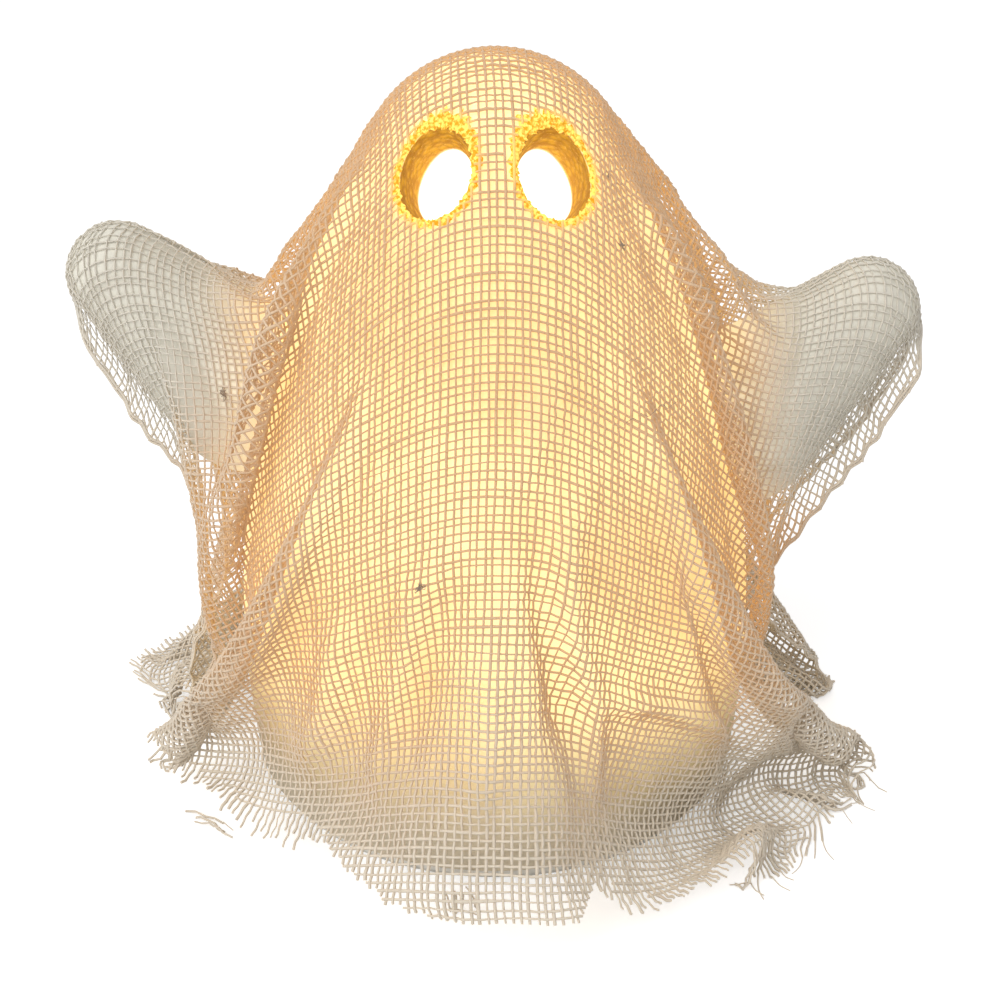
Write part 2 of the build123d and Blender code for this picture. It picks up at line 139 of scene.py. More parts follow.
# edgeLines: for each side edge, distance from the ridge and the x, y, z where it hangs
edgeLines = {
    (-1, 1): [
        (0, -80, 0, 97), (8, -78.5, -5, 91), (16, -75.5, -6, 85), (28, -69, -8, 74), (40, -61, -9, 65),
        (50, -57, -11, 56), (75, -56, -14, 33), (95, -62, -16, 13), (119, -69, -15, 0.5),
    ],
    (-1, -1): [(0, -80, 0, 97), (8, -78.5, 5, 91), (16, -75.5, 6, 85), (28, -69.5, 7, 74), (40, -62, 8, 65),
               (50, -57.5, 10, 56), (75, -58, 6, 34), (95, -66, 2, 14), (119, -65, -4, 0.5)],
    (1, 1): [(0, 82.5, 0, 91), (8, 82, -5, 86), (16, 79.5, -5, 79), (28, 74, -6, 69), (40, 66.5, -7, 59),
             (55, 55, -9, 44), (75, 51, -12, 28), (95, 62, -17, 11), (119, 75, -20, 0.5)],
    (1, -1): [(0, 82.5, 0, 91), (8, 82, 5, 86), (16, 80, 5, 79), (28, 75, 6, 69), (40, 67.5, 7, 59),
              (55, 56.5, 9, 44), (75, 54, 11, 28), (95, 68, 14, 12), (119, 78, 15.3, 0.5)],
}
# hemLines: x and y of the front hem (1) and the back hem (-1) on the table
hemLines = {
    1: [
        (-69.2, -14.9), (-62.5, -26), (-52.5, -37), (-40.5, -46.5), (-34.5, -51.5), (-27.5, -54),
        (-20, -57), (-10.8, -57.5), (-4.5, -57.6), (4.4, -61.5), (11.4, -62.8), (21.9, -65.5),
        (35.1, -59), (46.5, -51), (55.9, -46.1), (62.5, -37), (75.3, -20),
    ],
    -1: [(-65, -4), (-73.5, 5), (-86, 27), (-73, 43), (-46, 55), (-15, 62), (15, 63), (45, 55), (65, 40),
         (78, 15.3)],
}


def hemLength(u):
    share = np.minimum(1, np.abs(u) / clothSizes["halfWidth"])
    return clothSizes["lengthMid"] - (clothSizes["lengthMid"] - clothSizes["lengthSide"]) * share**2


def sideWidth(v):
    return np.interp(np.abs(v), sideCut[:, 0], sideCut[:, 1])


def runLength(points):
    points = np.array(points, float)
    return points, np.r_[0, np.cumsum(np.linalg.norm(np.diff(points, axis=0), axis=1))]


class Drape:
    # One level of the cloth as a grid of points spaced h apart

    def __init__(self, h, points=None):
        self.h = h
        countU = 2 * int(round(clothSizes["halfWidth"] / h)) + 1
        countV = 2 * int(round(clothSizes["halfLength"] / h)) + 1
        u = (np.arange(countU) - countU // 2) * h
        v = (np.arange(countV) - countV // 2) * h
        self.u, self.v = np.meshgrid(u, v)
        inside = np.abs(self.v) <= hemLength(self.u) + h * 0.51
        inside &= np.abs(self.u) <= sideWidth(self.v) + h * 0.3
        self.weight = inside.astype(float)
        if points is None:
            drop = 147.0 - 0.0006 * (self.u**2 + self.v**2)
            points = np.stack([self.u * 0.98, -self.v * 0.98, drop], -1)
        self.p = points
        self.last = points.copy()
        self.groups = []
        self.findGuides()

    def link(self, stepV, stepU, pull, push):
        # Links that share no point are moved together, so each pattern is two or more groups
        rest = self.h * np.hypot(stepV, stepU)
        countV, countU = self.weight.shape
        pairs = []
        if stepV and stepU:
            left, right = (slice(0, -1), slice(1, None)) if stepU > 0 else (slice(1, None), slice(0, -1))
            for k in range(2):
                rows = np.arange(k, countV - 1, 2)
                low, high = slice(rows[0], rows[-1] + 1, 2), slice(rows[0] + 1, rows[-1] + 2, 2)
                pairs.append(((low, left), (high, right)))
        else:
            n = stepV or stepU
            for k in range(2 * n):
                spots = np.arange(k, (countV if stepV else countU) - n, 2 * n)
                if len(spots) == 0:
                    continue
                low = slice(spots[0], spots[-1] + 1, 2 * n)
                high = slice(spots[0] + n, spots[-1] + n + 1, 2 * n)
                every = slice(None)
                pairs.append(((low, every), (high, every)) if stepV else ((every, low), (every, high)))
        for a, b in pairs:
            self.groups.append((a, b, rest, pull, push, self.weight[a] * self.weight[b] * 0.5))

    def findGuides(self):
        countV, countU = self.weight.shape
        rows, columns, targets = [], [], []
        for (sideU, sideV), line in edgeLines.items():
            line = np.array(line, float)
            for i in range(countV):
                kept = np.where(self.weight[i] > 0)[0]
                if len(kept) == 0:
                    continue
                j = kept[-1] if sideU > 0 else kept[0]
                v = self.v[i, j] * sideV
                if v >= 0 and abs(self.u[i, j]) > 80:
                    rows.append(i)
                    columns.append(j)
                    targets.append([np.interp(v, line[:, 0], line[:, k]) for k in (1, 2, 3)])
        self.edge = (np.array(rows), np.array(columns), np.array(targets))
        rows, columns, targets = [], [], []
        for sideV, line in hemLines.items():
            line, run = runLength(line)
            for j in range(countU):
                kept = np.where((self.weight[:, j] > 0) & (self.v[:, j] * sideV > 100))[0]
                if len(kept) == 0:
                    continue
                at = run[-1] * j / (countU - 1)
                rows.append(kept[-1] if sideV > 0 else kept[0])
                columns.append(j)
                x, y = np.interp(at, run, line[:, 0]), np.interp(at, run, line[:, 1])
                targets.append([x, y, clothSizes["floor"]])
        self.hem = (np.array(rows), np.array(columns), np.array(targets))
        middle = countV // 2
        columns, targets = [], []
        for j in np.where(np.abs(self.u[middle]) >= 22)[0]:
            line, run = runLength(ridgeLines[1 if self.u[middle, j] > 0 else -1])
            at = abs(self.u[middle, j])
            columns.append(j)
            targets.append([np.interp(at, run, line[:, 0]), 0, np.interp(at, run, line[:, 1])])
        self.ridge = (np.full(len(columns), middle), np.array(columns), np.array(targets))

    def relax(self):
        for a, b, rest, pull, push, share in self.groups:
            first, second = self.p[a], self.p[b]
            d = second - first
            length = np.sqrt(np.einsum("ijk,ijk->ij", d, d)) + 1e-9
            s = (length - rest) / length
            s *= np.where(s > 0, pull, push) * share
            d *= s[..., None]
            first += d
            second -= d

    def collide(self, grip, floorGrip):
        p, last = self.p.reshape(-1, 3), self.last.reshape(-1, 3)
        fields = (foamField, lambda q: armField(q, -1), lambda q: armField(q, 1))
        outer = (np.abs(self.u) > 88).ravel()
        for field in fields:
            dist, normal = field(p)
            hit = dist < clothSizes["gap"]
            p[hit] += normal[hit] * (clothSizes["gap"] - dist[hit])[:, None]
            if field is not foamField:
                cling = ~hit & (dist < 5) & outer
                p[cling] -= normal[cling] * (0.03 * (dist[cling] - clothSizes["gap"]))[:, None]
            if grip:
                move = p[hit] - last[hit]
                move -= (move * normal[hit]).sum(1)[:, None] * normal[hit]
                p[hit] -= grip * move
        hit = p[:, 2] < clothSizes["floor"]
        p[hit, 2] = clothSizes["floor"]
        p[hit, :2] -= floorGrip * (p[hit, :2] - last[hit, :2])

    def settle(self, steps, rounds, weight, damping, ridgePull, edgePull=0.0, hemPull=0.0):
        guides = [(self.ridge, ridgePull), (self.edge, edgePull), (self.hem, hemPull)]
        for _ in range(steps):
            move = (self.p - self.last) * damping
            speed = np.linalg.norm(move, axis=-1, keepdims=True)
            move *= np.minimum(1, 3.0 / (speed + 1e-9))
            self.last = self.p.copy()
            self.p = self.p + move * self.weight[..., None]
            self.p[..., 2] -= weight * self.weight
            for _ in range(rounds):
                self.relax()
                for (i, j, target), pull in guides:
                    if pull:
                        self.p[i, j] += (target - self.p[i, j]) * pull
                self.collide(0.0, 0.0)
            self.collide(0.3, 0.4)


def dress(level, bend):
    level.link(0, 1, 1, 1)
    level.link(1, 0, 1, 1)
    level.link(1, 1, 0.05, 0.05)
    level.link(1, -1, 0.05, 0.05)
    level.link(0, 2, 0, bend)
    level.link(2, 0, 0, bend)


def fillPast(p, weight):
    # Carries the cloth on past its cut, so that curves through it have neighbours
    p, known = p.copy(), weight > 0
    while not known.all():
        total, count = np.zeros_like(p), np.zeros(weight.shape)
        for step in ((1, 0), (-1, 0), (0, 1), (0, -1)):
            far = (2 * step[0], 2 * step[1])
            ok = np.roll(known, step, (0, 1)) & np.roll(known, far, (0, 1)) & ~known
            total += np.where(ok[..., None], 2 * np.roll(p, step, (0, 1)) - np.roll(p, far, (0, 1)), 0)
            count += ok
        new = (count > 0) & ~known
        if not new.any():
            break
        p[new] = total[new] / count[new][:, None]
        known |= new
    return p


def finer(a, k, axis):
    n = a.shape[axis]
    t = np.arange((n - 1) * k + 1) / k
    i = np.minimum(t.astype(int), n - 2)
    shape = [1] * a.ndim
    shape[axis] = -1
    f = (t - i).reshape(shape)
    p0, p1, p2, p3 = [np.take(a, np.clip(i + o, 0, n - 1), axis) for o in (-1, 0, 1, 2)]
    curve = (2 * p0 - 5 * p1 + 4 * p2 - p3) * f * f + (3 * p1 - p0 - 3 * p2 + p3) * f**3
    return 0.5 * (2 * p1 + (p2 - p0) * f + curve)


def refine(level, h):
    k = int(round(level.h / h))
    return Drape(h, finer(finer(fillPast(level.p, level.weight), k, 0), k, 1))


def drapeCloth():
    coarse = Drape(clothSizes["pitch"] * 8)
    dress(coarse, 0.1)
    coarse.settle(steps=160, rounds=20, weight=0.25, damping=0.96, ridgePull=0.05)
    coarse.settle(steps=120, rounds=20, weight=0.1, damping=0.9, ridgePull=0.3, edgePull=0.4, hemPull=0.3)
    print("stage: cloth fell")
    middle = refine(coarse, clothSizes["pitch"] * 4)
    dress(middle, 0.15)
    middle.settle(steps=100, rounds=14, weight=0.08, damping=0.9, ridgePull=0.3, edgePull=0.5, hemPull=0.3)
    fine = refine(middle, clothSizes["pitch"] * 2)
    dress(fine, 0.3)
    fine.settle(steps=20, rounds=12, weight=0.05, damping=0.9, ridgePull=0.3, edgePull=0.6, hemPull=0.3)
    print("stage: cloth settled")
    return fine


drape = drapeCloth()

# The crossings of the weave, one thread pitch apart
grid = finer(finer(fillPast(drape.p, drape.weight), 2, 0), 2, 1)
gridU = finer(finer(drape.u, 2, 0), 2, 1)
gridV = finer(finer(drape.v, 2, 0), 2, 1)
rng = np.random.default_rng(31)

# Folds as seen from the front: line in the view, height in mm, half width in the view
foldLines = {
    "leftTuck": ([(300, 240), (262, 380), (245, 480), (232, 560), (226, 640)], 2.6, 13),
    "sFold": ([(596, 450), (566, 540), (568, 620), (590, 700), (586, 790), (600, 850)], 3.4, 15),
    "sFoldValley": ([(548, 520), (544, 600), (560, 690), (556, 780)], -2.0, 15),
    "rightCrease": ([(585, 702), (650, 702), (710, 722), (752, 748)], 2.8, 12),
    "leftOfMiddle": ([(470, 520), (420, 590), (402, 680), (385, 760), (392, 850)], 2.8, 17),
    "lowLeft": ([(345, 600), (330, 700), (300, 790)], 2.6, 17),
    "lowMiddle": ([(490, 640), (492, 740), (470, 850)], 2.2, 16),
    "lowRight": ([(700, 520), (682, 640), (705, 740), (700, 850)], 2.4, 17),
    "rightShoulder": ([(640, 190), (678, 260), (705, 315), (758, 335)], 2.6, 13),
    "chest": ([(560, 330), (540, 430), (500, 520)], 1.6, 20),
}


def viewPlace(p):
    # Where points stand in the front view, 1000 units across
    s = cameraSizes
    tilt, half = radians(s["tilt"]), s["view"] / 2
    scale = s["view"] * s["lens"] / s["sensor"]
    q = p - np.array([0, s["y"], s["z"]])
    ahead = q[..., 1] * cos(tilt) - q[..., 2] * sin(tilt)
    up = q[..., 1] * sin(tilt) + q[..., 2] * cos(tilt)
    x = half - s["shiftX"] * s["view"] + scale * q[..., 0] / ahead
    y = half + s["shiftY"] * s["view"] - scale * up / ahead
    return np.stack([x, y], -1)


def pressFolds(p, normals):
    seen = viewPlace(p)
    lift = np.zeros(p.shape[:2])
    for line, height, width in foldLines.values():
        line, run = runLength(line)
        best, at = np.full(lift.shape, 1e9), np.zeros(lift.shape)
        for k in range(len(line) - 1):
            d = line[k + 1] - line[k]
            t = np.clip(((seen - line[k]) @ d) / (d @ d), 0, 1)
            far = np.linalg.norm(seen - line[k] - t[..., None] * d, axis=-1)
            nearer = far < best
            best = np.where(nearer, far, best)
            at = np.where(nearer, run[k] + t * (run[k + 1] - run[k]), at)
        ends = np.clip(np.minimum(at, run[-1] - at) / (0.3 * run[-1]), 0, 1)
        lift += height * np.exp(-(best / width) ** 2) * (3 - 2 * ends) * ends**2
    facing = np.clip(-normals[..., 1] * 2, 0, 1) * (gridV > 0)
    p = p + (lift * facing)[..., None] * normals
    for field in (foamField, lambda q: armField(q, -1), lambda q: armField(q, 1)):
        dist, away = field(p)
        p = p + np.maximum(clothSizes["gap"] - dist, 0)[..., None] * away
    return p


def smoothNoise(shape, axis, length, amount):
    noise = rng.normal(size=shape)
    kernel = np.hanning(length + 2)[1:-1]
    kernel /= sqrt((kernel**2).sum())
    return amount * np.apply_along_axis(lambda row: np.convolve(row, kernel, "same"), axis, noise)


def unit(a):
    return a / np.maximum(np.linalg.norm(a, axis=-1, keepdims=True), 1e-9)


def polygonDepth(points, polygon):
    # Distance from a closed outline in plan, positive inside
    a = np.array(polygon, float)
    b = np.roll(a, -1, 0)
    d = b - a
    q = points[:, None, :] - a[None]
    t = np.clip((q * d).sum(-1) / (d * d).sum(-1), 0, 1)
    near = np.linalg.norm(q - t[..., None] * d, axis=-1).min(1)
    y0, y1, y = a[:, 1], b[:, 1], points[:, 1:2]
    across = (y0 > y) != (y1 > y)
    x = d[:, 0] * (y - y0) / np.where(d[:, 1] == 0, 1e-9, d[:, 1]) + a[:, 0]
    inside = (across & (points[:, :1] < x)).sum(1) % 2 == 1
    return np.where(inside, near, -near)


def eyeAxes(side):
    s = eyeSizes
    mouth = np.array([side * s["spacing"], -s["face"], s["height"]])
    inner = np.array([side * s["innerSpacing"], s["depth"] - s["face"], s["height"] - s["drop"]])
    axis = np.array([side * s["spacing"], -s["face"], 0]) / np.hypot(s["spacing"], s["face"])
    across = np.array([s["face"], side * s["spacing"], 0]) / np.hypot(s["spacing"], s["face"])
    return mouth, inner, axis, across, radians(side * s["lean"])


def eyeShare(p, side):
    # How far out a point is from an eye hole's middle, 1 on its rim; the hole narrows inwards
    mouth, inner, axis, across, turn = eyeAxes(side)
    run = mouth - inner
    q = p - mouth
    t = (q @ axis) / (run @ axis)
    q = q - t[..., None] * run
    x, y = q @ across, q[..., 2]
    x, y = x * cos(turn) + y * sin(turn), y * cos(turn) - x * sin(turn)
    scale = 1 - (1 - eyeSizes["innerShare"]) * np.clip(-t, 0, 1)
    share = np.hypot(x / eyeSizes["halfWidth"], y / eyeSizes["halfHeight"]) / scale
    # The gauze stands back from the hole, most of all above it
    upper = np.clip(y / eyeSizes["halfHeight"], 0, 1)
    share = share / (1 + eyeSizes["gauzeGap"] + eyeSizes["browGap"] * upper**2)
    return np.where(p[..., 1] < 0, share, 9.0)


def eyeEdge(side, count):
    # The line where an eye hole meets the outside of the foam
    mouth, inner, axis, across, turn = eyeAxes(side)
    angle = np.arange(count) * 2 * pi / count
    x, y = eyeSizes["halfWidth"] * np.cos(angle), eyeSizes["halfHeight"] * np.sin(angle)
    x, y = x * cos(turn) - y * sin(turn), x * sin(turn) + y * cos(turn)
    ring = x[:, None] * across + y[:, None] * np.array([0, 0, 1.0])
    t = np.linspace(-0.28, 0.95, 500)
    scale = 1 - (1 - eyeSizes["innerShare"]) * np.maximum(t, 0)
    tracks = mouth + (inner - mouth) * t[None, :, None] + ring[:, None, :] * scale[None, :, None]
    dist, away = foamField(tracks)
    first = np.argmax(dist < 0.3, axis=1)
    spot = (np.arange(count), first)
    return tracks[spot], away[spot]


flowU, flowV = unit(np.gradient(grid, axis=1)), unit(np.gradient(grid, axis=0))
grid = pressFolds(grid, unit(np.cross(flowV, flowU)))
grid[..., 2] = np.maximum(grid[..., 2], clothSizes["floor"])
for side in (-1, 1):
    dist, away = armField(grid, side)
    grid -= away * (0.45 * np.clip(1 - (dist - 0.8) / 2.0, 0, 1))[..., None]
eyeGap = np.minimum(eyeShare(grid, -1), eyeShare(grid, 1))
hemCut = hemLength(gridU) - np.abs(gridV)
sideGap = sideWidth(gridV) - clothSizes["turnIn"] - np.abs(gridU)
hemPolygons = {
    1: hemLines[1] + [(92, -12), (92, 60), (-92, 60), (-92, -8)],
    -1: hemLines[-1] + [(95, 5), (95, -60), (-52, -60), (-55, -12)],
}
hemGap = np.full(gridU.shape, 30.0)
for sideV, polygon in hemPolygons.items():
    low = (grid[..., 2] < 14) & (gridV * sideV > 0)
    hemGap[low] = polygonDepth(grid[low][:, :2], polygon)
alongU, alongV = unit(np.gradient(grid, axis=1)), unit(np.gradient(grid, axis=0))
normals = unit(np.cross(alongV, alongU))
foamGap, _ = foamField(grid)
armGap = np.minimum(armField(grid, -1)[0], armField(grid, 1)[0])
# lit: how much of the body's glow is painted onto each thread, as painted shade and painted glow; it fades
# away from the foam, towards the table and near the arms
lit = np.clip(glowSizes["full"] - foamGap / glowSizes["fall"], 0, 1)
lit *= np.clip((grid[..., 2] - glowSizes["darkBelow"]) / glowSizes["rise"], 0, 1)
lit *= np.clip((armGap + glowSizes["armStart"]) / glowSizes["armRise"], glowSizes["armLeast"], 1)
# rim: threads at the edge of an eye hole, which get painted golden light from inside the foam
rim = np.clip(1 - (eyeGap - 1) / 0.13, 0, 1)
onArm = np.clip(1.2 - armGap / 5.0, 0, 1) * np.clip((np.abs(grid[..., 0]) - 48) / 10, 0, 1)
print("stage: weave laid out")


def threadRuns(points, gap, extras):
    # Cuts one thread where gap falls below zero; each run is points plus their extra values
    runs, current = [], []
    rows = np.concatenate([points, extras], 1)
    for k in range(len(rows)):
        if gap[k] > 0:
            if not current and k > 0 and gap[k - 1] <= 0:
                f = gap[k] / (gap[k] - gap[k - 1])
                if f > 0.15:
                    current.append(rows[k] + (rows[k - 1] - rows[k]) * f)
            current.append(rows[k])
        elif current:
            f = gap[k - 1] / (gap[k - 1] - gap[k])
            if f > 0.15:
                current.append(rows[k - 1] + (rows[k] - rows[k - 1]) * f)
            runs.append(current)
            current = []
    if current:
        runs.append(current)
    runs = [np.array(run) for run in runs if len(run) > 2]
    return [run for run in runs if len(run) > 6 or run[:, 2].max() > 16]


def sampleGrid(field, u, v):
    x = np.clip((u - gridU[0, 0]) / clothSizes["pitch"], 0, field.shape[1] - 1.001)
    y = np.clip((v - gridV[0, 0]) / clothSizes["pitch"], 0, field.shape[0] - 1.001)
    i, j = y.astype(int), x.astype(int)
    f, g = (y - i)[:, None], (x - j)[:, None]
    upper = field[i, j] * (1 - g) + field[i, j + 1] * g
    lower = field[i + 1, j] * (1 - g) + field[i + 1, j + 1] * g
    return upper * (1 - f) + lower * f


def weaveRuns():
    checker = 1 - 2 * (np.add.outer(np.arange(gridU.shape[0]), np.arange(gridU.shape[1])) % 2)
    bulge = (clothSizes["wave"] * checker)[..., None] * normals
    s = weaveSizes
    shiftU = smoothNoise(gridU.shape, 0, s["shiftRun"], s["shift"])[..., None] * alongU
    shiftV = smoothNoise(gridU.shape, 1, s["shiftRun"], s["shift"])[..., None] * alongV
    slim = clothSizes["threadRadius"] * (1 - s["slimLit"] * lit) * (1 - s["slimArm"] * onArm)
    thickWarp = slim * (1 + np.clip(smoothNoise(gridU.shape, 0, s["unevenRun"], s["uneven"]), -0.3, 0.5))
    thickWeft = slim * (1 + np.clip(smoothNoise(gridU.shape, 1, s["unevenRun"], s["uneven"]), -0.3, 0.5))
    runs = {(sideU, sideV): [] for sideU in (-1, 1) for sideV in (-1, 1)}
    middleV, middleU = gridU.shape[0] // 2, gridU.shape[1] // 2

    def sort(points, gap, extras, fixed, warp):
        # Splits a thread at the middle of the cloth between the panels it runs through
        middle = middleV if warp else middleU
        for side in (-1, 1):
            part = slice(middle, None) if side > 0 else slice(0, middle + 1)
            key = (1 if fixed > 0 else -1, side) if warp else (side, 1 if fixed > 0 else -1)
            runs[key] += [(warp, run) for run in threadRuns(points[part], gap[part], extras[part])]

    for j in range(gridU.shape[1]):
        loose = np.where(gridV[:, j] > 0, rng.uniform(*s["warpFray"]), rng.uniform(*s["warpFray"]))
        ends = np.minimum(hemGap[:, j], hemCut[:, j]) + loose
        gap = np.minimum(ends, (eyeGap[:, j] - 1) * s["eyeScale"] + rng.uniform(*s["eyeFray"]))
        gap = np.minimum(gap, sideGap[:, j])
        extras = np.stack([thickWarp[:, j], lit[:, j], rim[:, j], gridU[:, j], gridV[:, j], onArm[:, j]], 1)
        sort(grid[:, j] + bulge[:, j] + shiftU[:, j], gap, extras, j - middleU, True)
    for i in range(gridU.shape[0]):
        loose = np.where(gridU[i] > 0, rng.uniform(*s["weftFray"]), rng.uniform(*s["weftFray"]))
        ends = np.minimum(hemGap[i], hemCut[i]) + loose
        gap = np.minimum(ends, (eyeGap[i] - 1) * s["eyeScale"] + rng.uniform(*s["eyeFray"]))
        gap = np.minimum(gap, sideGap[i])
        extras = np.stack([thickWeft[i], lit[i], rim[i], gridU[i], gridV[i], onArm[i]], 1)
        sort(grid[i] - bulge[i] + shiftV[i], gap, extras, i - middleV, False)
    # Two strands close each side edge, from hem corner to hem corner
    fields = np.concatenate([grid, np.stack([lit, rim, hemGap, hemCut, onArm], -1)], -1)
    for side in (-1, 1):
        for strand in range(2):
            v = np.arange(-125, 125.1, 1.1)
            u = side * (sideWidth(v) - clothSizes["turnIn"] - 0.1 - 0.55 * strand)
            rows = sampleGrid(fields, u, v)
            rows[:, :3] += 0.2 * strand * sampleGrid(normals, u, v)
            gap = np.minimum(rows[:, 5], rows[:, 6]) + 0.5
            thick = np.full(len(v), clothSizes["threadRadius"])
            flatU = np.full(len(v), side * (115 + strand))
            extras = np.stack([thick, rows[:, 3], rows[:, 4], flatU, v, rows[:, 7]], 1)
            half = len(v) // 2
            for sideV, part in ((1, slice(half, None)), (-1, slice(0, half + 1))):
                made = threadRuns(rows[part, :3], gap[part], extras[part])
                runs[side, sideV] += [(True, run) for run in made]
    return runs


# Node helpers
def put(tree, kind, sockets=None, **settings):
    node = tree.nodes.new(kind)
    for name, value in settings.items():
        setattr(node, name, value)
    for name, value in (sockets or {}).items():
        socket = node.inputs[name]
        if isinstance(value, bpy.types.NodeSocket):
            tree.links.new(value, socket)
        else:
            socket.default_value = value
    return node


def threadTree():
    tree = bpy.data.node_groups.new("threadTubes", "GeometryNodeTree")
    tree.interface.new_socket("Geometry", in_out="INPUT", socket_type="NodeSocketGeometry")
    tree.interface.new_socket("Sides", in_out="INPUT", socket_type="NodeSocketInt")
    tree.interface.new_socket("Material", in_out="INPUT", socket_type="NodeSocketMaterial")
    tree.interface.new_socket("Geometry", in_out="OUTPUT", socket_type="NodeSocketGeometry")
    into, out = tree.nodes.new("NodeGroupInput"), tree.nodes.new("NodeGroupOutput")
    thick = put(tree, "GeometryNodeInputNamedAttribute", {"Name": "thick"}, data_type="FLOAT")
    curve = put(tree, "GeometryNodeMeshToCurve", {"Mesh": into.outputs["Geometry"]})
    sized = put(tree, "GeometryNodeSetCurveRadius", {"Curve": curve.outputs[0], "Radius": thick.outputs[0]})
    ring = put(tree, "GeometryNodeCurvePrimitiveCircle", {
        "Resolution": into.outputs["Sides"], "Radius": 1.0,
    })
    tube = put(tree, "GeometryNodeCurveToMesh", {
        "Curve": sized.outputs[0], "Profile Curve": ring.outputs[0], "Fill Caps": True,
    })
    if "Scale" in tube.inputs:
        tree.links.new(thick.outputs[0], tube.inputs["Scale"])
    soft = put(tree, "GeometryNodeSetShadeSmooth", {"Geometry": tube.outputs[0]})
    real = put(tree, "GeometryNodeRealizeInstances", {"Geometry": soft.outputs[0]})
    dyed = put(tree, "GeometryNodeSetMaterial", {
        "Geometry": real.outputs[0], "Material": into.outputs["Material"],
    })
    tree.links.new(dyed.outputs[0], out.inputs[0])
    return tree


def setInputs(modifier, tree, values):
    for item in tree.interface.items_tree:
        if item.item_type == "SOCKET" and item.in_out == "INPUT" and item.name in values:
            modifier[item.identifier] = values[item.name]


def bake(obj, name):
    view = bpy.context.view_layer
    view.update()
    made = bpy.data.meshes.new_from_object(obj.evaluated_get(bpy.context.evaluated_depsgraph_get()))
    bpy.data.objects.remove(obj)
    made.name = name
    result = bpy.data.objects.new(name, made)
    bpy.context.scene.collection.objects.link(result)
    return result


def threadObject(name, runs, tree, material, sides=4):
    rows = np.concatenate([run for _, run, _ in runs])
    warp = np.concatenate([np.full(len(run), 1.0 if isWarp else 0.0) for isWarp, run, _ in runs])
    flecks = np.concatenate([np.full(len(run), fleck) for _, run, fleck in runs])
    edges, start = [], 0
    for _, run, _ in runs:
        first = np.arange(start, start + len(run) - 1)
        edges.append(np.stack([first, first + 1], 1))
        start += len(run)
    lines = bpy.data.meshes.new(name + "Lines")
    lines.from_pydata((rows[:, :3] / 1000).tolist(), np.concatenate(edges).tolist(), [])
    values = {
        "thick": rows[:, 3] / 1000, "lit": rows[:, 4], "rim": rows[:, 5], "flatU": rows[:, 6],
        "flatV": rows[:, 7], "warp": warp, "fleck": flecks, "onArm": rows[:, 8],
    }
    for key, value in values.items():
        lines.attributes.new(key, "FLOAT", "POINT").data.foreach_set("value", value.astype(np.float32))
    source = bpy.data.objects.new(name + "Lines", lines)
    bpy.context.scene.collection.objects.link(source)
    modifier = source.modifiers.new("tubes", "NODES")
    modifier.node_group = tree
    setInputs(modifier, tree, {"Sides": sides, "Material": material})
    obj = bake(source, name)
    layThreads(obj, sides)
    return obj


def readPoint(mesh, key):
    out = np.zeros(len(mesh.vertices), np.float32)
    mesh.attributes[key].data.foreach_get("value", out)
    return out


def layThreads(obj, sides):
    # Lays every thread flat at its own place: warp on the left half of the map, weft on the right
    mesh = obj.data
    corner = np.zeros(len(mesh.loops), np.int32)
    mesh.loops.foreach_get("vertex_index", corner)
    starts, totals = np.zeros(len(mesh.polygons), np.int32), np.zeros(len(mesh.polygons), np.int32)
    mesh.polygons.foreach_get("loop_start", starts)
    mesh.polygons.foreach_get("loop_total", totals)
    face = np.repeat(np.arange(len(starts)), totals)
    turn = corner % sides
    high = np.maximum.reduceat(turn, starts)[face]
    low = np.minimum.reduceat(turn, starts)[face]
    turn = np.where((high == sides - 1) & (low == 0) & (turn == 0) & (totals[face] == 4), sides, turn)
    flatU, flatV, warp = (readPoint(mesh, key)[corner] for key in ("flatU", "flatV", "warp"))
    across = (turn / sides - 0.5) * 0.8
    u = flatU + np.where(warp > 0.5, across, 0)
    v = flatV + np.where(warp > 0.5, 0, across)
    u, v = (u - u.min()) / (u.max() - u.min()), (v - v.min()) / (v.max() - v.min())
    u = 0.005 + 0.485 * u + np.where(warp > 0.5, 0.0, 0.505)
    v = 0.005 + 0.99 * v
    layer = mesh.uv_layers.new(name="OFBake")
    layer.data.foreach_set("uv", np.stack([u, v], 1).astype(np.float32).ravel())


def nearestSpot(view):
    # The front thread crossing seen at a place in the front view
    seen = viewPlace(grid)
    facing = (gridV > 0) & (normals[..., 1] < 0)
    far = np.linalg.norm(seen - np.array(view), axis=-1) + np.where(facing, 0, 1e6)
    return np.unravel_index(np.argmin(far), far.shape)


# Places in the front view: bits of lint with their size in mm and strands, and one hair's start and run
lintSpots = {
    "middle": ((424, 590), 1.1, 7), "rightCheek": ((617, 245), 0.9, 6), "leftArm": ((222, 397), 1.0, 5),
    "rightEye": ((605, 178), 0.35, 2),
}
hairLine = ((628, 424), (46, -30))


